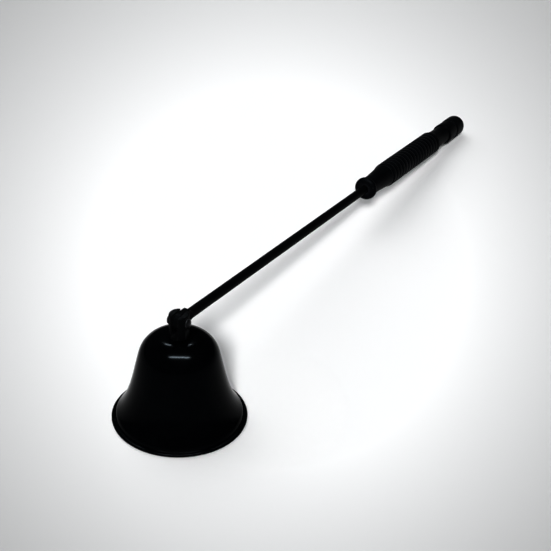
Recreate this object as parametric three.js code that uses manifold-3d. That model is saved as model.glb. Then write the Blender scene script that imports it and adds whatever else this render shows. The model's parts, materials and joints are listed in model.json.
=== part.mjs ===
// Hinged candle snuffer: a bell on a slotted post, and a long rod with a turned, ribbed handle.
//
// Millimetres, +Z up. At rest the bell stands on its rim and the end knob lies on the same table, at z = 0.
// +X runs from the bell to the end of the handle, and the origin is on the table under the middle of the object.
import * as THREE from "three";
import { mergeVertices } from "three/addons/utils/BufferGeometryUtils.js";
import Module from "manifold-3d";

const wasm = await Module();
wasm.setup();

// ---------------------------------------------------------------- driving dimensions

// Bell: a thin spun shell with a beaded rim, a hollow flare, a steep wall and a round shoulder.
const RIM_R = 20;
const RIM_BEAD_H = 1.1;
const RIM_INNER_R = 18.9;
const RIM_CORNER = 0.45;
const WALL = 0.9;
const WALL_START_R = 19.65;
const FLARE_ANGLE = 45; // degrees above the table at which the wall leaves the rim
const FLARE_PULL = 7.7; // length of the curve's handle at the rim
const WALL_PULL = 6; // length of the curve's handle at the shoulder
const SHOULDER_R = 8;
const SHOULDER_START = 17; // degrees above the horizontal at which the shoulder's arc begins
const CROWN_R = 3.96; // the flat seat on top
const CROWN_Z = 28.5;
const CROWN_HOLE_R = 1.6;

// Post: it stands on the crown, and its threaded tail goes through to the nut inside.
const POST_R = 2.95;
const POST_TOP_Z = 35.85;
const POST_CHAMFER = 0.35;
const PIVOT_Z = 33.3;
const SLOT_W = 2.4;
const SLOT_FLOOR_Z = 29.0;
const TAIL_R = 1.5;
const TAIL_END_Z = 24.0;
const TAIL_CHAMFER = 0.3;
const SPOT_FACE_R = 1.8;
const SPOT_FACE_Y = 2.7; // from the middle plane to the flat under each pin head

// Fasteners
const WASHER_R = 3.5;
const WASHER_H = 0.5;
const NUT_FLATS = 5.5;
const NUT_H = 2.4;
const FASTENER_GAP = 0.05;
const PIN_R = 1.0;
const PIN_HOLE_R = 1.06;
const PIN_HEAD_R = 1.55;
const PIN_HEAD_RIM = 0.3;
const PIN_HEAD_DOME = 0.6;

// Rod: a flat tongue in the slot, a short neck, a round shaft, and a tang inside the handle.
const ROD_R = 1.5;
const TONGUE_R = 2.5; // half the tongue's height, and the radius of its rounded end
const TONGUE_T = 2.0;
const TONGUE_END = 4.0;
const NECK_R = 1.8; // hollow fillet from the tongue's height down to the shaft's
const FLAT_END = 4.3;
const CHEEK_R = 5; // hollow fillet from the tongue's flats out to the shaft's width
const CORNERS_START = 3.4; // the tongue's corners are forged away between these two
const CORNERS_END = 6.2;
const FORGING_OVERSIZE = 0.2; // the hollow curves run this far past the shaft's surface
const TANG_END = 223;
const BORE_CLEARANCE = 0.1;
const SEAM = 0.1; // between the pieces stacked on the tang

// Handle pieces, as distances from the pivot along the rod.
const COLLAR_START = 131;
const COLLAR_END = 133.9;
const COLLAR_R = 4.1;
const GRIP_START = COLLAR_END + SEAM;
const GRIP_START_R = 3.3;
const RIBS = 17;
const RIB_FIRST = 150.3;
const RIB_PITCH = 2.8;
const RIB_CREST_R = 4.42;
const RIB_VALLEY_R = 4.02;
const RIB_CREST_W = 1.1;
const GRIP_WAIST = 206.5;
const GRIP_WAIST_R = 3.45;
const RING_START = 209.5;
const RING_END = 217.5;
const RING_START_R = 4.0;
const RING_END_R = 3.88;
const KNOB_START = RING_END + SEAM;
const KNOB_R = 4.05;
const KNOB_TIP = 228;
const KNOB_SHOULDER = 1.2;

// ---------------------------------------------------------------- placing

// The knob's round end rests on the table, which sets the rod's tilt.
const KNOB_BALL_S = KNOB_TIP - KNOB_R;
const REST_TILT = Math.asin((PIVOT_Z - KNOB_R) / KNOB_BALL_S);
const REACH = KNOB_BALL_S * Math.cos(REST_TILT) + KNOB_R;
const BELL_X = (RIM_R - REACH) / 2;

// ---------------------------------------------------------------- helpers

const TURN = Math.PI * 2;
const AROUND_BELL = 56;
const AROUND_HANDLE = 32;
const AROUND_SMALL = 24;

const point = (r, h) => new THREE.Vector2(r, h);
const radians = (degrees) => (degrees * Math.PI) / 180;

// Points of an arc about (r, h), from one angle to the other, in degrees above the horizontal.
function arc(r, h, radius, from, to, steps) {
  return Array.from({ length: steps + 1 }, (_, i) => {
    const angle = radians(from + ((to - from) * i) / steps);
    return point(r + radius * Math.cos(angle), h + radius * Math.sin(angle));
  });
}

// A body turned about Z. Its profile is (radius, height), up the outside first.
function turnedZ(profile, around) {
  return new THREE.LatheGeometry(profile, around).rotateX(Math.PI / 2);
}

// A body turned about X. Its profile is (radius, distance), towards +X on the outside.
function turnedX(profile, around) {
  return new THREE.LatheGeometry(profile, around).rotateZ(-Math.PI / 2);
}

// A solid that can be joined and cut, from a closed geometry.
function solidOf(geometry) {
  const bare = geometry.clone();
  bare.deleteAttribute("normal");
  bare.deleteAttribute("uv");
  const merged = mergeVertices(bare);
  return new wasm.Manifold(
    new wasm.Mesh({
      numProp: 3,
      vertProperties: merged.attributes.position.array,
      triVerts: new Uint32Array(merged.index.array),
    }),
  );
}

function geometryOf(solid) {
  const mesh = solid.getMesh();
  const geometry = new THREE.BufferGeometry();
  geometry.setAttribute("position", new THREE.BufferAttribute(mesh.vertProperties, mesh.numProp));
  geometry.setIndex(new THREE.BufferAttribute(mesh.triVerts, 1));
  geometry.computeVertexNormals();
  return geometry;
}

// A round bar along Y through the pivot, from y = -half to y = half.
function crossBar(radius, half) {
  return new THREE.CylinderGeometry(radius, radius, 2 * half, AROUND_SMALL);
}

function named(name, geometry, color, roughness, metalness) {
  const mesh = new THREE.Mesh(
    geometry,
    new THREE.MeshStandardMaterial({ color, roughness, metalness }),
  );
  mesh.name = name;
  return mesh;
}

const BLACK_ENAMEL = [0x0c0d0e, 0.35, 0.2];
const BLACK_GLOSS = [0x08090a, 0.22, 0.1];
const DARK_STEEL = [0x2a2c2e, 0.4, 0.9];

// ---------------------------------------------------------------- bell

// The outside of the bell from the top of the rim bead to the edge of the crown's flat.
function bellOutside() {
  const shoulderZ = CROWN_Z - SHOULDER_R;
  const shoulder = arc(CROWN_R, shoulderZ, SHOULDER_R, SHOULDER_START, 90, 6);
  const start = point(WALL_START_R, RIM_BEAD_H);
  const end = shoulder[0];
  const flare = radians(FLARE_ANGLE);
  const lean = radians(SHOULDER_START);
  const wall = new THREE.CubicBezierCurve(
    start,
    point(start.x - FLARE_PULL * Math.cos(flare), start.y + FLARE_PULL * Math.sin(flare)),
    point(end.x + WALL_PULL * Math.sin(lean), end.y - WALL_PULL * Math.cos(lean)),
    end,
  );
  return [...wall.getPoints(9), ...shoulder.slice(1)];
}

// The same line moved in by the wall's thickness.
function movedIn(line, distance) {
  return line.map((p, i) => {
    const before = line[Math.max(i - 1, 0)];
    const after = line[Math.min(i + 1, line.length - 1)];
    const along = after.clone().sub(before).normalize();
    return point(p.x - along.y * distance, p.y + along.x * distance);
  });
}

function bell() {
  const outside = bellOutside();
  const inside = movedIn(outside, WALL);
  inside[inside.length - 1] = point(CROWN_R, CROWN_Z - WALL);
  const rim = [
    point(RIM_INNER_R, 0),
    ...arc(RIM_R - RIM_CORNER, RIM_CORNER, RIM_CORNER, -90, 0, 3),
    point(RIM_R, RIM_BEAD_H - RIM_CORNER),
  ];
  return turnedZ(
    [
      ...rim,
      ...outside,
      point(CROWN_HOLE_R, CROWN_Z),
      point(CROWN_HOLE_R, CROWN_Z - WALL),
      ...inside.reverse(),
      point(RIM_INNER_R, 0),
    ],
    AROUND_BELL,
  );
}

// ---------------------------------------------------------------- post and fasteners

function slottedPost() {
  const body = turnedZ(
    [
      point(0, TAIL_END_Z),
      point(TAIL_R - TAIL_CHAMFER, TAIL_END_Z),
      point(TAIL_R, TAIL_END_Z + TAIL_CHAMFER),
      point(TAIL_R, CROWN_Z),
      point(POST_R, CROWN_Z),
      point(POST_R, POST_TOP_Z - POST_CHAMFER),
      point(POST_R - POST_CHAMFER, POST_TOP_Z),
      point(0, POST_TOP_Z),
    ],
    AROUND_HANDLE,
  );
  const above = POST_TOP_Z + 1;
  const slot = new THREE.BoxGeometry(3 * POST_R, SLOT_W, above - SLOT_FLOOR_Z);
  slot.translate(0, 0, (above + SLOT_FLOOR_Z) / 2);
  const pinHole = crossBar(PIN_HOLE_R, 2 * POST_R).translate(0, 0, PIVOT_Z);
  let solid = solidOf(body).subtract(solidOf(slot)).subtract(solidOf(pinHole));
  const depth = 2;
  for (const side of [-1, 1]) {
    const spotFace = crossBar(SPOT_FACE_R, depth / 2);
    spotFace.translate(0, side * (SPOT_FACE_Y + depth / 2), PIVOT_Z);
    solid = solid.subtract(solidOf(spotFace));
  }
  return geometryOf(solid);
}

// A plain ring about Z, for the washer.
function innerWasher() {
  const top = CROWN_Z - WALL;
  return turnedZ(
    [
      point(CROWN_HOLE_R, top - WASHER_H),
      point(WASHER_R, top - WASHER_H),
      point(WASHER_R, top),
      point(CROWN_HOLE_R, top),
      point(CROWN_HOLE_R, top - WASHER_H),
    ],
    AROUND_HANDLE,
  );
}

// A hexagon with its corners rounded off top and bottom, and a bore for the post's tail.
function hexNut() {
  const top = CROWN_Z - WALL - WASHER_H;
  const cornerR = NUT_FLATS / Math.sqrt(3);
  const bevel = cornerR - NUT_FLATS / 2;
  const hexagon = new THREE.CylinderGeometry(cornerR, cornerR, NUT_H, 6).rotateX(Math.PI / 2);
  hexagon.translate(0, 0, top - NUT_H / 2);
  const bevelled = turnedZ(
    [
      point(0, top - NUT_H),
      point(NUT_FLATS / 2, top - NUT_H),
      point(cornerR, top - NUT_H + bevel),
      point(cornerR, top - bevel),
      point(NUT_FLATS / 2, top),
      point(0, top),
    ],
    AROUND_SMALL,
  );
  const boreR = TAIL_R + FASTENER_GAP;
  const bore = new THREE.CylinderGeometry(boreR, boreR, 2 * NUT_H, AROUND_HANDLE).rotateX(Math.PI / 2);
  bore.translate(0, 0, top - NUT_H / 2);
  return geometryOf(solidOf(hexagon).intersect(solidOf(bevelled)).subtract(solidOf(bore)));
}

// A rivet through both cheeks, with a domed head at each end.
function pivotPin() {
  const seat = SPOT_FACE_Y + FASTENER_GAP;
  const edge = seat + PIN_HEAD_RIM;
  const domeR = (PIN_HEAD_R ** 2 + PIN_HEAD_DOME ** 2) / (2 * PIN_HEAD_DOME);
  const domeEdge = THREE.MathUtils.radToDeg(Math.acos(PIN_HEAD_R / domeR));
  const head = [
    point(PIN_R, seat),
    point(PIN_HEAD_R, seat),
    ...arc(0, edge + PIN_HEAD_DOME - domeR, domeR, domeEdge, 90, 4),
  ];
  head[head.length - 1].x = 0;
  const otherHead = head.map((p) => point(p.x, -p.y)).reverse();
  const profile = [...otherHead, ...head];
  return new THREE.LatheGeometry(profile, AROUND_SMALL).translate(0, 0, PIVOT_Z);
}

// ---------------------------------------------------------------- rod

const FORGED_HALF = ROD_R + FORGING_OVERSIZE;
const FORGED_END = TANG_END + 1;

// The outline from the side: a tongue with a round nose, then a hollow fillet on each side down to the shaft.
function tongueOutline() {
  const filletY = FORGED_HALF + NECK_R;
  const start = Math.asin((filletY - TONGUE_R) / NECK_R);
  const filletS = TONGUE_END + NECK_R * Math.cos(start);
  const shape = new THREE.Shape();
  shape.absarc(0, 0, TONGUE_R, Math.PI / 2, 1.5 * Math.PI, false);
  shape.absarc(filletS, -filletY, NECK_R, Math.PI - start, Math.PI / 2, true);
  shape.lineTo(FORGED_END, -FORGED_HALF);
  shape.lineTo(FORGED_END, FORGED_HALF);
  shape.absarc(filletS, filletY, NECK_R, -Math.PI / 2, start - Math.PI, true);
  return shape;
}

// The outline from above: flat cheeks along the tongue, then a hollow curve out past the shaft's width.
function cheekOutline() {
  const flat = TONGUE_T / 2;
  const centreY = flat + CHEEK_R;
  const sweep = Math.acos((centreY - FORGED_HALF) / CHEEK_R);
  const back = -TONGUE_R - 1;
  const shape = new THREE.Shape();
  shape.moveTo(back, -flat);
  shape.absarc(FLAT_END, -centreY, CHEEK_R, Math.PI / 2, Math.PI / 2 - sweep, true);
  shape.lineTo(FORGED_END, -FORGED_HALF);
  shape.lineTo(FORGED_END, FORGED_HALF);
  shape.absarc(FLAT_END, centreY, CHEEK_R, -Math.PI / 2 + sweep, -Math.PI / 2, true);
  shape.lineTo(back, flat);
  return shape;
}

// A flat outline in X and Y, given a thickness that is centred on it.
function slab(shape, thickness, curveSegments) {
  const solid = new THREE.ExtrudeGeometry(shape, {
    depth: thickness,
    bevelEnabled: false,
    curveSegments,
  });
  return solid.translate(0, 0, -thickness / 2);
}

// The rod lies along X, with its pivot at the origin: a turned bar, flattened from the side and from above.
function rod() {
  const back = -TONGUE_R - 1;
  const blankR = TONGUE_R + 1;
  const bar = turnedX(
    [
      point(0, back),
      point(blankR, back),
      point(blankR, CORNERS_START),
      point(ROD_R, CORNERS_END),
      point(ROD_R, TANG_END),
      point(0, TANG_END),
    ],
    AROUND_SMALL,
  );
  const fromSide = slab(tongueOutline(), 4 * TONGUE_R, 12).rotateX(Math.PI / 2);
  const fromAbove = slab(cheekOutline(), 4 * TONGUE_R, 6);
  const hole = crossBar(PIN_HOLE_R, 2 * ROD_R);
  return geometryOf(
    solidOf(bar)
      .intersect(solidOf(fromSide))
      .intersect(solidOf(fromAbove))
      .subtract(solidOf(hole)),
  );
}

// ---------------------------------------------------------------- handle pieces

const BORE_R = ROD_R + BORE_CLEARANCE;

// A piece threaded on the tang: its outside, closed by the bore.
function onTang(outside) {
  const first = outside[0];
  const last = outside[outside.length - 1];
  return turnedX(
    [point(BORE_R, first.y), ...outside, point(BORE_R, last.y), point(BORE_R, first.y)],
    AROUND_HANDLE,
  );
}

// A thin disc with a round rim.
function collar() {
  const half = (COLLAR_END - COLLAR_START) / 2;
  const middle = COLLAR_START + half;
  return onTang(arc(COLLAR_R - half, middle, half, -80, 80, 8));
}

// One rib's section: a short crest between two valleys.
function rib(s) {
  return [
    point(RIB_VALLEY_R, s - RIB_PITCH / 2),
    point(RIB_CREST_R, s - RIB_CREST_W / 2),
    point(RIB_CREST_R, s + RIB_CREST_W / 2),
  ];
}

// A smooth neck that swells towards the ribs, the ribbed barrel, then a taper to a waist.
function grip() {
  const ribsEnd = RIB_FIRST + (RIBS - 1) * RIB_PITCH;
  const neck = new THREE.CubicBezierCurve(
    point(GRIP_START_R, GRIP_START),
    point(GRIP_START_R + 0.1, GRIP_START + 5),
    point(RIB_VALLEY_R - 0.45, RIB_FIRST - 7),
    point(RIB_VALLEY_R + 0.1, RIB_FIRST - RIB_PITCH / 2 - 0.3),
  );
  const taper = new THREE.CubicBezierCurve(
    point(RIB_VALLEY_R + 0.1, ribsEnd + RIB_PITCH / 2),
    point(RIB_VALLEY_R - 0.3, ribsEnd + 4),
    point(GRIP_WAIST_R, GRIP_WAIST - 5),
    point(GRIP_WAIST_R, GRIP_WAIST),
  );
  const ribs = Array.from({ length: RIBS }, (_, i) => rib(RIB_FIRST + i * RIB_PITCH)).flat();
  return onTang([
    ...neck.getPoints(6),
    ...ribs,
    ...taper.getPoints(6),
    point(GRIP_WAIST_R, RING_START - SEAM),
  ]);
}

function endRing() {
  const corner = 0.4;
  return onTang([
    point(RING_START_R - corner, RING_START),
    point(RING_START_R, RING_START + corner),
    point(RING_END_R, RING_END - corner),
    point(RING_END_R - corner, RING_END),
  ]);
}

// A bullet-shaped end with a blind bore for the tang.
function endKnob() {
  return turnedX(
    [
      point(BORE_R, KNOB_START),
      point(KNOB_R - 0.5, KNOB_START),
      point(KNOB_R, KNOB_START + KNOB_SHOULDER),
      ...arc(0, KNOB_BALL_S, KNOB_R, 0, 80, 6),
      point(0, KNOB_TIP),
      point(0, TANG_END + SEAM),
      point(BORE_R, TANG_END + SEAM),
      point(BORE_R, KNOB_START),
    ],
    AROUND_HANDLE,
  );
}

// ---------------------------------------------------------------- assembly

const snuffer = new THREE.Group();

const bellGroup = new THREE.Group();
bellGroup.position.set(BELL_X, 0, 0);
bellGroup.add(
  named("bell", bell(), ...BLACK_ENAMEL),
  named("slotted_post", slottedPost(), ...BLACK_ENAMEL),
  named("inner_washer", innerWasher(), ...DARK_STEEL),
  named("post_nut", hexNut(), ...DARK_STEEL),
  named("pivot_pin", pivotPin(), ...DARK_STEEL),
);

const handleGroup = new THREE.Group();
handleGroup.position.set(BELL_X, 0, PIVOT_Z);
handleGroup.rotation.y = REST_TILT;
handleGroup.add(
  named("rod", rod(), ...BLACK_ENAMEL),
  named("collar", collar(), ...BLACK_GLOSS),
  named("grip", grip(), ...BLACK_GLOSS),
  named("end_ring", endRing(), ...BLACK_GLOSS),
  named("end_knob", endKnob(), ...BLACK_GLOSS),
);

snuffer.add(bellGroup, handleGroup);

export default snuffer;
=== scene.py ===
"""A hinged candle snuffer in black enamel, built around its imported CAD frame.

Everything is in metres in the CAD frame: the bell stands on its rim at z = 0, and +X runs to the
end of the handle.
Profiles are written in millimetres, as (radius, distance along the turning axis, corner radius).
"""

import json
import math

import bmesh
import bpy
from mathutils import Matrix, Vector


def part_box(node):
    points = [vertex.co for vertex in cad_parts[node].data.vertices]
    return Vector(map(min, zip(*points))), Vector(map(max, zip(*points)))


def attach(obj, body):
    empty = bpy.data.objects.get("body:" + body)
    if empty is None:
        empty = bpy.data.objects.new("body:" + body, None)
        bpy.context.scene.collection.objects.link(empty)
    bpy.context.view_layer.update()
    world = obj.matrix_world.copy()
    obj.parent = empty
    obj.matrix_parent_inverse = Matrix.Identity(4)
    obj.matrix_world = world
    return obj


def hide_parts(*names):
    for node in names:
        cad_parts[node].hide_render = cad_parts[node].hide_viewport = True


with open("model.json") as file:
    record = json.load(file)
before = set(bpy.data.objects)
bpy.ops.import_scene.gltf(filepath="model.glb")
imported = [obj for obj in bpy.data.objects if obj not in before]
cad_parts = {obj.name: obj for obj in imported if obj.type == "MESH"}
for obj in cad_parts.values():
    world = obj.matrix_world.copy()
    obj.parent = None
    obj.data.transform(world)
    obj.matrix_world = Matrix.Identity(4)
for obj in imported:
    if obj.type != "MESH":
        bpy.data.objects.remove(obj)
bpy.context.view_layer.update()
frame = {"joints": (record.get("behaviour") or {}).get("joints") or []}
MM = 0.001

# ---------------------------------------------------------------- places taken from the frame

PIVOT = Vector(frame["joints"][0]["pos_m"])
BELL_LOW, BELL_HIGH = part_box("bell")
BELL_AXIS = Vector(((BELL_LOW.x + BELL_HIGH.x) / 2, 0.0, 0.0))
RIM_R = (BELL_HIGH.x - BELL_LOW.x) / 2 / MM
CROWN_Z = BELL_HIGH.z / MM
POST_LOW, POST_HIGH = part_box("slotted_post")
KNOB_LOW, KNOB_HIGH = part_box("end_knob")
KNOB_R = (KNOB_HIGH.y - KNOB_LOW.y) / 2 / MM
KNOB_BALL = Vector((KNOB_HIGH.x - KNOB_R * MM, 0.0, KNOB_R * MM))
ROD_LINE = KNOB_BALL - PIVOT
KNOB_BALL_S = ROD_LINE.length / MM
TILT = math.atan2(-ROD_LINE.z, ROD_LINE.x)

# Turning axes: each takes local +Z to the axis of the piece.
UPRIGHT = Matrix.Translation(BELL_AXIS)
ALONG_ROD = (
    Matrix.Translation(PIVOT)
    @ Matrix.Rotation(TILT, 4, "Y")
    @ Matrix.Rotation(math.pi / 2, 4, "Y")
)
ACROSS_PIVOT = Matrix.Translation(PIVOT) @ Matrix.Rotation(-math.pi / 2, 4, "X")

# ---------------------------------------------------------------- sizes in millimetres

WALL = 0.9
RIM_INNER_R = 18.9
WALL_START = (19.65, 1.1)
FLARE_ANGLE = 45
FLARE_PULL = 7.7
WALL_PULL = 6
SHOULDER_R = 8
SHOULDER_START = 17
CROWN_R = 3.96
CROWN_HOLE_R = 1.6

POST_R = (POST_HIGH.x - POST_LOW.x) / 2 / MM
POST_TOP = POST_HIGH.z / MM
TAIL_END = POST_LOW.z / MM
TAIL_R = 1.5
SLOT_W = 2.4
SLOT_FLOOR = 29.0
SPOT_FACE_R = 1.8
SPOT_FACE_Y = 2.7
PIN_R = 1.0
PIN_HOLE_R = 1.06
PIN_HEAD_R = 1.55
PIN_HEAD_DOME = 0.6
PIN_HEAD_RIM = 0.3
WASHER_R = 3.5
WASHER_H = 0.5
NUT_H = 2.4
NUT_HALF_FLATS = 2.75
FASTENER_GAP = 0.05

ROD_R = 1.5
TONGUE_R = 2.5
TONGUE_HALF_T = 1.0
TONGUE_END = 4.0
NECK_R = 1.8
FLAT_END = 4.2
ROUND_FROM = 6.4
NECK_STEP = 0.1
SHAFT_START = 7.5
SHAFT_STEP = 3.5
TANG_CHAMFER = 0.4
TANG_TIP_R = 1.2
TANG_END = 223.0
BORE_R = 1.6

COLLAR = (131.0, 133.9)
COLLAR_R = 4.1
GRIP_START = 134.0
GRIP_START_R = 3.3
RIBS = 17
RIB_FIRST = 150.3
RIB_PITCH = 2.8
RIB_CREST_R = 4.42
RIB_VALLEY_R = 3.98
GRIP_WAIST = 206.5
GRIP_WAIST_R = 3.45
RING = (209.5, 217.5)
RING_START_R = 4.0
RING_END_R = 3.88
KNOB_START = 217.6
KNOB_SHOULDER = 1.2
SEAM = 0.1

# ---------------------------------------------------------------- camera, floor and light

PICTURE_WIDTH = 551
FOCAL = 1400
SENSOR = 36.0
CAMERA_FROM_RIM_CENTRE = Vector((-14.232, -8.564, 12.594))  # in rim radii
CAMERA_HEADING = 26.4
CAMERA_PITCH = 31.42
CAMERA_ROLL = 2.0
KEY_OFF_CAMERA = 5.2
KEY_WIDTH = 9
KEY_POWER = 3.5
SIDE_HEADING = 62
SIDE_RISE = 50
SIDE_WIDTH = 60
SIDE_POWER = 1.6
AMBIENT = 0.1
# Painted pool of light in the floor's colour: where the painted darkening starts, how fast it falls,
# and its darkest share.
PAINTED_POOL_EDGE = 0.139
PAINTED_POOL_FADE = 3.64
PAINTED_POOL_LOWEST = 0.58
FLOOR_COLOUR = (0.9, 0.9, 0.9)
DISPLAY_GAMMA = 0.7


CAMERA = BELL_AXIS + CAMERA_FROM_RIM_CENTRE * RIM_R * MM
AHEAD = Vector(
    (
        math.cos(math.radians(CAMERA_PITCH)) * math.cos(math.radians(CAMERA_HEADING)),
        math.cos(math.radians(CAMERA_PITCH)) * math.sin(math.radians(CAMERA_HEADING)),
        -math.sin(math.radians(CAMERA_PITCH)),
    )
)
RIGHT = AHEAD.cross(Vector((0, 0, 1))).normalized()
UP = RIGHT.cross(AHEAD)


def make_camera():
    turn = Matrix((RIGHT, UP, -AHEAD)).transposed()
    roll = Matrix.Rotation(math.radians(CAMERA_ROLL), 3, "Z")
    data = bpy.data.cameras.new("camera")
    data.sensor_width = SENSOR
    data.lens = SENSOR * FOCAL / PICTURE_WIDTH
    data.clip_start = 0.01
    data.clip_end = 20
    camera = bpy.data.objects.new("camera", data)
    camera.matrix_world = Matrix.Translation(CAMERA) @ (turn @ roll).to_4x4()
    bpy.context.scene.collection.objects.link(camera)
    bpy.context.scene.camera = camera


def strip_light(name, place, target, size, power, colour):
    """A long panel that shows only in reflections, its longer side across the picture."""
    away = (place - target).normalized()
    side = (RIGHT - RIGHT.dot(away) * away).normalized()
    turn = Matrix((side, away.cross(side), away)).transposed()
    data = bpy.data.lights.new(name, "AREA")
    data.shape = "RECTANGLE"
    data.size, data.size_y = size
    data.energy = power
    data.color = colour
    light = bpy.data.objects.new(name, data)
    light.matrix_world = Matrix.Translation(place) @ turn.to_4x4()
    light.visible_diffuse = False
    bpy.context.scene.collection.objects.link(light)


def distant_light(name, towards_light, width, power):
    """A broad distant light that shows only in the shading and shadows."""
    data = bpy.data.lights.new(name, "SUN")
    data.angle = math.radians(width)
    data.energy = power
    light = bpy.data.objects.new(name, data)
    light.matrix_world = towards_light.to_track_quat("Z", "Y").to_matrix().to_4x4()
    light.visible_glossy = False
    bpy.context.scene.collection.objects.link(light)


def make_lights():
    crown = BELL_AXIS + Vector((0, 0, CROWN_Z * MM))
    overhead = crown + Vector((-0.167, -0.105, 0.589))
    behind = crown + Vector((0.43, 0.28, 0.66))
    strip_light("overhead_strip", overhead, crown, size=(0.5, 0.046), power=17, colour=(0.93, 0.97, 1))
    strip_light("back_panel", behind, crown, size=(0.36, 0.05), power=6, colour=(0.85, 0.93, 1))
    aside = math.radians(KEY_OFF_CAMERA)
    key = -AHEAD * math.cos(aside) + (UP - RIGHT).normalized() * math.sin(aside)
    distant_light("key", key, KEY_WIDTH, KEY_POWER)
    turn, rise = math.radians(SIDE_HEADING), math.radians(SIDE_RISE)
    side = Vector((math.cos(turn) * math.cos(rise), math.sin(turn) * math.cos(rise), math.sin(rise)))
    distant_light("side", side, SIDE_WIDTH, SIDE_POWER)


def make_world():
    world = bpy.data.worlds.new("studio")
    world.use_nodes = True
    background = world.node_tree.nodes["Background"]
    background.inputs["Color"].default_value = (0.85, 0.93, 1.0, 1)
    background.inputs["Strength"].default_value = AMBIENT
    bpy.context.scene.world = world


def make_floor():
    """A pale floor with a painted pool of light: its colour is brightest in the middle of the picture
    and painted darker away from it.
    """
    half = 3.0
    drop = 0.02 * MM
    mesh = bpy.data.meshes.new("floor")
    corners = [(-half, -half), (half, -half), (half, half), (-half, half)]
    mesh.from_pydata([(x, y, -drop) for x, y in corners], [], [(0, 1, 2, 3)])
    floor = bpy.data.objects.new("floor", mesh)
    bpy.context.scene.collection.objects.link(floor)
    m = Nodes("pale_floor_painted_light_pool")
    # Painted pool of light: the floor colour is darkened with its angle from the middle of the view,
    # standing in for a fall-off of light.
    sight = m.add("ShaderNodeVectorMath", operation="SUBTRACT")
    m.join(m.coords, sight.inputs[0])
    sight.inputs[1].default_value = CAMERA
    parts = []
    for axis in (RIGHT, UP, AHEAD):
        dot = m.add("ShaderNodeVectorMath", operation="DOT_PRODUCT")
        m.join(sight.outputs["Vector"], dot.inputs[0])
        dot.inputs[1].default_value = axis
        parts.append(dot.outputs["Value"])
    off_axis = m.add("ShaderNodeCombineXYZ")
    m.join(m.math("DIVIDE", parts[0], parts[2]), off_axis.inputs["X"])
    m.join(m.math("DIVIDE", parts[1], parts[2]), off_axis.inputs["Y"])
    spread = m.add("ShaderNodeVectorMath", operation="LENGTH")
    m.join(off_axis.outputs["Vector"], spread.inputs[0])
    past_painted_pool = m.math("MAXIMUM", m.math("SUBTRACT", spread.outputs["Value"], PAINTED_POOL_EDGE), 0.0)
    painted_falloff = m.math("EXPONENT", m.math("MULTIPLY", past_painted_pool, -PAINTED_POOL_FADE))
    painted_falloff = m.math("MAXIMUM", painted_falloff, PAINTED_POOL_LOWEST)
    m.join(m.mix(painted_falloff, (0, 0, 0), FLOOR_COLOUR), m.shader.inputs["Base Color"])
    m.shader.inputs["Roughness"].default_value = 0.9
    m.shader.inputs["Specular IOR Level"].default_value = 0.0
    mesh.materials.append(m.material)


def set_tones():
    """A contrasty picture: a plain display transform with a low gamma."""
    view = bpy.context.scene.view_settings
    view.view_transform = "Standard"
    view.gamma = DISPLAY_GAMMA


# ---------------------------------------------------------------- profiles


def arc(r, s, radius, start, end, steps):
    """Points of an arc about (r, s), with angles in degrees from the +radius direction."""
    points = []
    for i in range(steps + 1):
        angle = math.radians(start + (end - start) * i / steps)
        points.append((r + radius * math.cos(angle), s + radius * math.sin(angle)))
    return points


def bezier(a, b, c, d, steps):
    points = []
    for i in range(steps + 1):
        t = i / steps
        u = 1 - t
        weights = (u**3, 3 * u * u * t, 3 * u * t * t, t**3)
        points.append(
            tuple(sum(w * p[k] for w, p in zip(weights, (a, b, c, d))) for k in (0, 1))
        )
    return points


def rounded(corners, steps=6):
    """An outline from (radius, distance, corner radius), with each corner turned into an arc."""
    points = []
    count = len(corners)
    for i, (r, s, radius) in enumerate(corners):
        here = Vector((r, s))
        if radius == 0:
            points.append((r, s))
            continue
        before = Vector(corners[i - 1][:2]) - here
        after = Vector(corners[(i + 1) % count][:2]) - here
        half_angle = before.angle(after) / 2
        reach = radius / math.tan(half_angle)
        bisector = (before.normalized() + after.normalized()).normalized()
        centre = here + bisector * (radius / math.sin(half_angle))
        start = here + before.normalized() * reach - centre
        end = here + after.normalized() * reach - centre
        turn = start.angle_signed(end)
        for k in range(steps + 1):
            spoke = start.copy()
            spoke.rotate(Matrix.Rotation(-turn * k / steps, 2))
            points.append(tuple(centre + spoke))
    return points


def moved_in(line, distance):
    """The same line, moved to the left of its direction."""
    moved = []
    for i, point in enumerate(line):
        before = Vector(line[max(i - 1, 0)])
        after = Vector(line[min(i + 1, len(line) - 1)])
        along = (after - before).normalized()
        moved.append((point[0] - along.y * distance, point[1] + along.x * distance))
    return moved


# ---------------------------------------------------------------- mesh making


def finish_mesh(name, bm, place, sharp_angle=32):
    bmesh.ops.recalc_face_normals(bm, faces=bm.faces)
    mesh = bpy.data.meshes.new(name)
    bm.to_mesh(mesh)
    bm.free()
    mesh.transform(place)
    mesh.shade_smooth()
    mesh.set_sharp_from_angle(angle=math.radians(sharp_angle))
    piece = bpy.data.objects.new(name, mesh)
    bpy.context.scene.collection.objects.link(piece)
    return piece


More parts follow.
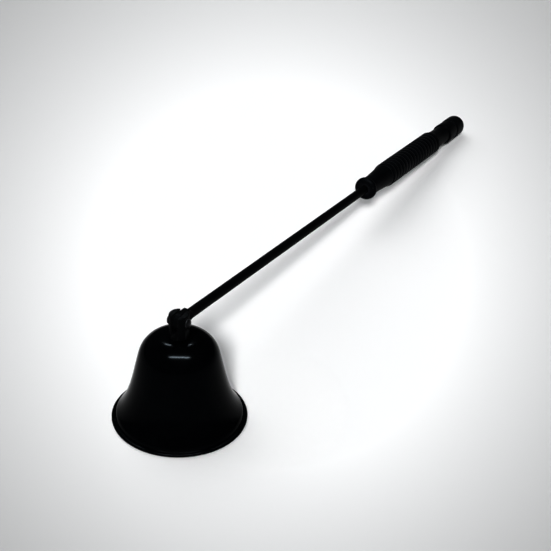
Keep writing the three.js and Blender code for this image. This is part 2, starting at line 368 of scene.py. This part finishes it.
def turned(name, profile, place, around=160):
    """A turned solid about local Z. The profile closes on itself, or starts and ends on the axis."""
    bm = bmesh.new()
    tiny = 1e-6
    rings = []
    for r, s in profile:
        if r < tiny:
            rings.append([bm.verts.new((0, 0, s * MM))])
            continue
        rings.append(
            [
                bm.verts.new(
                    (
                        r * MM * math.cos(math.tau * k / around),
                        r * MM * math.sin(math.tau * k / around),
                        s * MM,
                    )
                )
                for k in range(around)
            ]
        )
    closed = len(rings[0]) > 1
    pairs = list(zip(rings, rings[1:]))
    if closed:
        pairs.append((rings[-1], rings[0]))
    for low, high in pairs:
        for k in range(around):
            after = (k + 1) % around
            if len(low) == 1:
                bm.faces.new((low[0], high[after], high[k]))
            elif len(high) == 1:
                bm.faces.new((low[k], low[after], high[0]))
            else:
                bm.faces.new((low[k], low[after], high[after], high[k]))
    return finish_mesh(name, bm, place)


def bar(radius, low, high, place, around=96):
    """A plain round bar, used only as a cutter."""
    return turned("cutter", [(0, low), (radius, low), (radius, high), (0, high)], place, around)


def block(low, high):
    """A plain box between two corners in millimetres from the bell's axis, used only as a cutter."""
    bm = bmesh.new()
    bmesh.ops.create_cube(bm, size=1)
    size = Vector(high) - Vector(low)
    middle = (Vector(high) + Vector(low)) / 2
    bm.transform(Matrix.Translation(middle * MM) @ Matrix.Diagonal((*(size * MM), 1)))
    return finish_mesh("cutter", bm, UPRIGHT)


def apply_modifiers(piece):
    evaluated = piece.evaluated_get(bpy.context.evaluated_depsgraph_get())
    mesh = bpy.data.meshes.new_from_object(evaluated)
    piece.modifiers.clear()
    piece.data = mesh


def cut(piece, cutters):
    """Takes the cutters out of the piece and deletes them."""
    for cutter in cutters:
        modifier = piece.modifiers.new("cut", "BOOLEAN")
        modifier.operation = "DIFFERENCE"
        modifier.solver = "EXACT"
        modifier.object = cutter
        apply_modifiers(piece)
        bpy.data.objects.remove(cutter)
    return piece


def break_edges(piece, width, sharp_angle=32):
    """Small rounded bevels on the hard edges."""
    bevel = piece.modifiers.new("bevel", "BEVEL")
    bevel.width = width * MM
    bevel.segments = 3
    bevel.limit_method = "ANGLE"
    bevel.angle_limit = math.radians(sharp_angle)
    bevel.harden_normals = False
    apply_modifiers(piece)
    piece.data.shade_smooth()
    piece.data.set_sharp_from_angle(angle=math.radians(sharp_angle))
    return piece


# ---------------------------------------------------------------- materials


class Nodes:
    """A short way to add and join shader nodes."""

    def __init__(self, name):
        self.material = bpy.data.materials.new(name)
        self.material.use_nodes = True
        self.tree = self.material.node_tree
        self.shader = self.tree.nodes["Principled BSDF"]
        self.coords = self.add("ShaderNodeTexCoord").outputs["Object"]

    def add(self, kind, **settings):
        node = self.tree.nodes.new(kind)
        for key, value in settings.items():
            setattr(node, key, value)
        return node

    def join(self, source, socket):
        self.tree.links.new(source, socket)

    def noise(self, scale, detail=4.0, roughness=0.55):
        node = self.add("ShaderNodeTexNoise")
        self.join(self.coords, node.inputs["Vector"])
        node.inputs["Scale"].default_value = scale
        node.inputs["Detail"].default_value = detail
        node.inputs["Roughness"].default_value = roughness
        return node.outputs["Fac"]

    def spread(self, value, low, high, to_low, to_high):
        node = self.add("ShaderNodeMapRange")
        self.join(value, node.inputs["Value"])
        node.inputs["From Min"].default_value = low
        node.inputs["From Max"].default_value = high
        node.inputs["To Min"].default_value = to_low
        node.inputs["To Max"].default_value = to_high
        return node.outputs["Result"]

    def math(self, operation, *values):
        node = self.add("ShaderNodeMath", operation=operation)
        for value, socket in zip(values, node.inputs):
            if isinstance(value, float):
                socket.default_value = value
            else:
                self.join(value, socket)
        return node.outputs["Value"]

    def mix(self, share, a, b):
        """A colour between a and b, each a colour or another node's output."""
        node = self.add("ShaderNodeMix", data_type="RGBA")
        self.join(share, node.inputs["Factor"])
        for value, socket in ((a, node.inputs[6]), (b, node.inputs[7])):
            if isinstance(value, tuple):
                socket.default_value = (*value, 1)
            else:
                self.join(value, socket)
        return node.outputs[2]

    def bump(self, height, distance, strength):
        node = self.add("ShaderNodeBump")
        self.join(height, node.inputs["Height"])
        node.inputs["Distance"].default_value = distance
        node.inputs["Strength"].default_value = strength
        self.join(node.outputs["Normal"], self.shader.inputs["Normal"])


def enamel(name, deep, lit, worn, roughness, gloss, peel_scale, peel):
    """Black enamel: faint mottling, a fine orange-peel surface, and duller, paler worn edges."""
    m = Nodes(name)
    mottle = m.spread(m.noise(140, 5), 0.35, 0.65, 0, 1)
    specks = m.spread(m.noise(2600, 2), 0.62, 0.72, 0, 1)
    edges = m.spread(m.add("ShaderNodeNewGeometry").outputs["Pointiness"], 0.53, 0.62, 0, 1)
    wear = m.math("MULTIPLY", edges, m.spread(m.noise(420, 4), 0.4, 0.62, 0.1, 1))
    tone = m.mix(mottle, deep, lit)
    m.join(m.mix(wear, tone, worn), m.shader.inputs["Base Color"])
    smear = m.spread(m.noise(90, 3), 0.3, 0.7, roughness * 0.85, roughness * 1.2)
    dull = m.math("ADD", smear, m.spread(wear, 0, 1, 0, 0.12))
    roughness = m.math("ADD", dull, m.spread(specks, 0, 1, 0, 0.04))
    m.join(roughness, m.shader.inputs["Roughness"])
    m.bump(m.noise(peel_scale, 3), 0.02 * MM, peel)
    m.shader.inputs["IOR"].default_value = 1.45
    m.shader.inputs["Specular IOR Level"].default_value = gloss
    m.shader.inputs["Specular Tint"].default_value = (0.82, 0.93, 1.0, 1)
    return m.material


def dark_steel(name):
    """Blackened steel: uneven oxide, a fine bumpy surface and brighter rubbed edges."""
    m = Nodes(name)
    oxide = m.spread(m.noise(500, 5), 0.35, 0.65, 0, 1)
    edges = m.spread(m.add("ShaderNodeNewGeometry").outputs["Pointiness"], 0.52, 0.6, 0, 1)
    rubbed = m.math("MULTIPLY", edges, m.spread(m.noise(900, 4), 0.35, 0.6, 0.2, 1))
    tone = m.mix(oxide, (0.018, 0.018, 0.02), (0.04, 0.04, 0.043))
    m.join(m.mix(rubbed, tone, (0.16, 0.16, 0.165)), m.shader.inputs["Base Color"])
    m.join(m.spread(m.noise(1500, 4), 0.3, 0.7, 0.3, 0.46), m.shader.inputs["Roughness"])
    m.bump(m.noise(3200, 3), 0.01 * MM, 0.4)
    m.shader.inputs["Metallic"].default_value = 1.0
    return m.material


def paint(piece, material):
    piece.data.materials.clear()
    piece.data.materials.append(material)


# ---------------------------------------------------------------- bell


def bell_outside():
    """The wall and shoulder, from the rim bead to the edge of the crown's flat."""
    flare, lean = math.radians(FLARE_ANGLE), math.radians(SHOULDER_START)
    shoulder = arc(CROWN_R, CROWN_Z - SHOULDER_R, SHOULDER_R, SHOULDER_START, 90, 28)
    r0, z0 = WALL_START
    r1, z1 = shoulder[0]
    wall = bezier(
        (r0, z0),
        (r0 - FLARE_PULL * math.cos(flare), z0 + FLARE_PULL * math.sin(flare)),
        (r1 + WALL_PULL * math.sin(lean), z1 - WALL_PULL * math.cos(lean)),
        (r1, z1),
        44,
    )
    return wall + shoulder[1:]


def make_bell():
    """A thin shell with a rolled bead on the rim, a small groove above it, and a hole in the crown."""
    outside = bell_outside()
    inside = moved_in(outside, WALL)
    inside[-1] = (CROWN_R, CROWN_Z - WALL)
    bead_h = 1.05
    groove_r = outside[2][0] - 0.12
    bead = rounded(
        [
            (RIM_INNER_R + 0.35, 0, 0),
            (RIM_R, 0, 0.48),
            (RIM_R, bead_h, 0.42),
            (groove_r, bead_h, 0.2),
            (groove_r - 0.02, outside[3][1], 0),
        ]
    )
    inner_lip = [
        (CROWN_R, CROWN_Z - WALL),
        *reversed(inside[2:-1]),
        (RIM_INNER_R - 0.05, 0.75),
        (RIM_INNER_R + 0.05, 0.2),
    ]
    profile = [
        *bead[:-1],
        *outside[3:],
        (CROWN_HOLE_R + 0.1, CROWN_Z),
        (CROWN_HOLE_R, CROWN_Z - 0.1),
        (CROWN_HOLE_R, CROWN_Z - WALL),
        *inner_lip,
    ]
    return turned("bell_shell", profile, UPRIGHT, around=288)


# ---------------------------------------------------------------- post and fasteners


def make_post():
    """A round post with a slot, a cross hole and a flat under each pin head, and a tail below."""
    body = turned(
        "post",
        rounded(
            [
                (0, TAIL_END, 0),
                (TAIL_R, TAIL_END, 0.3),
                (TAIL_R, CROWN_Z, 0),
                (POST_R, CROWN_Z, 0.12),
                (POST_R, POST_TOP, 0.35),
                (0, POST_TOP, 0),
            ]
        ),
        UPRIGHT,
    )
    wide = 2 * POST_R
    slot = block((-wide, -SLOT_W / 2, SLOT_FLOOR), (wide, SLOT_W / 2, POST_TOP + 1))
    pin_hole = bar(PIN_HOLE_R, -wide, wide, ACROSS_PIVOT)
    spot_faces = [
        bar(SPOT_FACE_R, SPOT_FACE_Y, wide, ACROSS_PIVOT),
        bar(SPOT_FACE_R, -wide, -SPOT_FACE_Y, ACROSS_PIVOT),
    ]
    cut(body, [slot, pin_hole, *spot_faces])
    return break_edges(body, 0.07)


def make_washer():
    top = CROWN_Z - WALL
    low = top - WASHER_H
    edge = 0.08
    return turned(
        "washer",
        rounded(
            [
                (CROWN_HOLE_R, low, edge),
                (WASHER_R, low, edge),
                (WASHER_R, top, edge),
                (CROWN_HOLE_R, top, edge),
            ],
            3,
        ),
        UPRIGHT,
    )


def make_nut():
    """A hexagon nut with its corners turned off and a countersunk bore."""
    top = CROWN_Z - WALL - WASHER_H
    low = top - NUT_H
    flat = NUT_HALF_FLATS
    corner = flat / math.cos(math.pi / 6)
    bevel = 0.32
    nut = turned(
        "nut",
        [
            (0, low),
            (flat, low),
            (corner + 0.02, low + bevel),
            (corner + 0.02, top - bevel),
            (flat, top),
            (0, top),
        ],
        UPRIGHT,
    )
    cutters = []
    for k in range(6):
        side = block((flat, -4, low - 1), (flat + 3, 4, top + 1))
        about_axis = UPRIGHT @ Matrix.Rotation(math.tau * k / 6, 4, "Z") @ UPRIGHT.inverted()
        side.data.transform(about_axis)
        cutters.append(side)
    bore_r = TAIL_R + FASTENER_GAP
    sink = 0.3
    cutters.append(
        turned(
            "cutter",
            [
                (0, low - 1),
                (bore_r + sink + 1, low - 1),
                (bore_r, low + sink),
                (bore_r, top + 1),
                (0, top + 1),
            ],
            UPRIGHT,
            96,
        )
    )
    return break_edges(cut(nut, cutters), 0.04)


def make_pin():
    """A rivet with a domed head at each end."""
    seat = SPOT_FACE_Y + FASTENER_GAP
    edge = seat + PIN_HEAD_RIM
    dome_r = (PIN_HEAD_R**2 + PIN_HEAD_DOME**2) / (2 * PIN_HEAD_DOME)
    edge_angle = math.degrees(math.acos(PIN_HEAD_R / dome_r))
    head = [
        (PIN_R, seat),
        (PIN_HEAD_R - 0.06, seat),
        (PIN_HEAD_R, seat + 0.06),
        *arc(0, edge + PIN_HEAD_DOME - dome_r, dome_r, edge_angle, 90, 12)[:-1],
        (0, edge + PIN_HEAD_DOME),
    ]
    other = [(r, -s) for r, s in reversed(head)]
    return turned("hinge_pin", other + head, ACROSS_PIVOT, around=96)


# ---------------------------------------------------------------- rod


def tongue_height(s):
    """Half the rod's height at a distance from the pivot: nose, tongue, hollow neck, shaft."""
    neck_y = ROD_R + NECK_R
    neck_s = TONGUE_END + math.sqrt(NECK_R**2 - (neck_y - TONGUE_R) ** 2)
    if s < 0:
        return math.sqrt(TONGUE_R**2 - s**2)
    if s < TONGUE_END:
        return TONGUE_R
    if s < neck_s:
        return neck_y - math.sqrt(NECK_R**2 - (neck_s - s) ** 2)
    return ROD_R


def smooth(x):
    x = min(max(x, 0), 1)
    return x * x * (3 - 2 * x)


def rod_section(s, around):
    """A ring of (height, width): a rounded rectangle on the tongue, a circle on the shaft."""
    high = tongue_height(s)
    roundness = smooth((s - FLAT_END) / (ROUND_FROM - FLAT_END))
    thick = TONGUE_HALF_T + (ROD_R - TONGUE_HALF_T) * roundness
    squareness = 2 / (2 + 8 * (1 - roundness) ** 2)
    ring = []
    for k in range(around):
        angle = math.tau * k / around
        c, d = math.cos(angle), math.sin(angle)
        x = math.copysign(abs(c) ** squareness, c) * high
        y = math.copysign(abs(d) ** squareness, d) * thick
        ring.append((x, y))
    return ring


def make_rod():
    """A round bar with one end flattened into a tongue, and a small chamfer on the other."""
    around = 64
    nose = [-TONGUE_R * math.cos(math.radians(a)) for a in range(6, 90, 6)]
    flats = [TONGUE_END * k / 8 for k in range(9)]
    neck = [TONGUE_END + NECK_STEP * k for k in range(1, 30)]
    shaft = [SHAFT_START + SHAFT_STEP * k for k in range(36)]
    tang = [COLLAR[1], TANG_END - TANG_CHAMFER]
    bm = bmesh.new()
    rings = []
    for s in nose + flats + neck + shaft + tang:
        rings.append([bm.verts.new((x * MM, y * MM, s * MM)) for x, y in rod_section(s, around)])
    tip = TANG_TIP_R / ROD_R
    rings.append([bm.verts.new((v.co.x * tip, v.co.y * tip, TANG_END * MM)) for v in rings[-1]])
    for low, high in zip(rings, rings[1:]):
        for k in range(around):
            after = (k + 1) % around
            bm.faces.new((low[k], low[after], high[after], high[k]))
    bm.faces.new(rings[0])
    bm.faces.new(rings[-1])
    rod = finish_mesh("rod_bar", bm, ALONG_ROD, sharp_angle=40)
    return cut(rod, [bar(PIN_HOLE_R, -3, 3, ACROSS_PIVOT)])


# ---------------------------------------------------------------- handle pieces


def on_tang(name, outside, around=160):
    """A piece threaded on the rod's tang: its outside, closed by the bore."""
    first, last = outside[0], outside[-1]
    return turned(name, [(BORE_R, first[1]), *outside, (BORE_R, last[1])], ALONG_ROD, around)


def make_collar():
    low, high = COLLAR
    half = (high - low) / 2
    return on_tang("collar_disc", arc(COLLAR_R - half, low + half, half, -88, 88, 26))


def rib(s):
    """One rib: a rounded crest with a narrow hollow on each side."""
    half = RIB_PITCH / 2
    steps = 14
    points = []
    for k in range(steps):
        t = -1 + 2 * k / steps
        lift = math.sqrt(max(1 - abs(t) ** 2.6, 0))
        points.append((RIB_VALLEY_R + (RIB_CREST_R - RIB_VALLEY_R) * lift, s + t * half))
    return points


def make_grip():
    """A smooth neck that swells towards the ribs, the ribbed barrel, then a taper to a waist."""
    ribs_end = RIB_FIRST + (RIBS - 1) * RIB_PITCH
    edge = 0.25
    neck = bezier(
        (GRIP_START_R, GRIP_START + edge),
        (GRIP_START_R + 0.1, GRIP_START + 5),
        (RIB_VALLEY_R - 0.4, RIB_FIRST - 7),
        (RIB_VALLEY_R + 0.12, RIB_FIRST - RIB_PITCH / 2 - 0.3),
        24,
    )
    taper = bezier(
        (RIB_VALLEY_R + 0.1, ribs_end + RIB_PITCH / 2 + 0.2),
        (RIB_VALLEY_R - 0.3, ribs_end + 4),
        (GRIP_WAIST_R, GRIP_WAIST - 5),
        (GRIP_WAIST_R, GRIP_WAIST),
        24,
    )
    ribs = [p for k in range(RIBS) for p in rib(RIB_FIRST + k * RIB_PITCH)]
    end = RING[0] - SEAM
    return on_tang(
        "ribbed_grip",
        [
            (GRIP_START_R - edge, GRIP_START),
            *neck,
            *ribs,
            (RIB_VALLEY_R, ribs_end + RIB_PITCH / 2),
            *taper,
            (GRIP_WAIST_R, end - edge),
            (GRIP_WAIST_R - edge, end),
        ],
        around=192,
    )


def make_ring():
    low, high = RING
    return on_tang(
        "ring_band",
        rounded(
            [
                (BORE_R + 0.2, low, 0),
                (RING_START_R, low, 0.45),
                (RING_END_R, high, 0.4),
                (BORE_R + 0.2, high, 0),
            ]
        ),
    )


def make_knob():
    ball = arc(0, KNOB_BALL_S, KNOB_R, 0, 90, 30)
    return turned(
        "knob",
        [
            (0, TANG_END + SEAM),
            (BORE_R, TANG_END + SEAM),
            (BORE_R, KNOB_START),
            *arc(KNOB_R - 0.55, KNOB_START + 0.55, 0.55, -90, -20, 6),
            (KNOB_R, KNOB_START + KNOB_SHOULDER),
            *ball[:-1],
            (0, KNOB_BALL_S + KNOB_R),
        ],
        ALONG_ROD,
    )


# ---------------------------------------------------------------- assembly


def place_piece(piece, body, node, material):
    paint(piece, material)
    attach(piece, body)
    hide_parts(node)


make_camera()
make_floor()
make_world()
make_lights()
set_tones()

bell_black = enamel(
    "bell_black",
    deep=(0.0012, 0.0014, 0.0018),
    lit=(0.0018, 0.0021, 0.0026),
    worn=(0.012, 0.014, 0.016),
    roughness=0.14,
    gloss=0.032,
    peel_scale=1500,
    peel=0.12,
)
rod_black = enamel(
    "rod_black",
    deep=(0.002, 0.0022, 0.0026),
    lit=(0.0035, 0.0038, 0.0044),
    worn=(0.015, 0.016, 0.017),
    roughness=0.42,
    gloss=0.02,
    peel_scale=2600,
    peel=0.35,
)
handle_black = enamel(
    "handle_black",
    deep=(0.002, 0.0023, 0.003),
    lit=(0.0036, 0.0042, 0.0055),
    worn=(0.016, 0.017, 0.02),
    roughness=0.4,
    gloss=0.02,
    peel_scale=2200,
    peel=0.3,
)
steel = dark_steel("blackened_steel")

place_piece(make_bell(), "bell", "bell", bell_black)
place_piece(make_post(), "bell", "slotted_post", rod_black)
place_piece(make_washer(), "bell", "inner_washer", steel)
place_piece(make_nut(), "bell", "post_nut", steel)
place_piece(make_pin(), "bell", "pivot_pin", steel)
place_piece(make_rod(), "handle", "rod", rod_black)
place_piece(make_collar(), "handle", "collar", handle_black)
place_piece(make_grip(), "handle", "grip", handle_black)
place_piece(make_ring(), "handle", "end_ring", handle_black)
place_piece(make_knob(), "handle", "end_knob", handle_black)
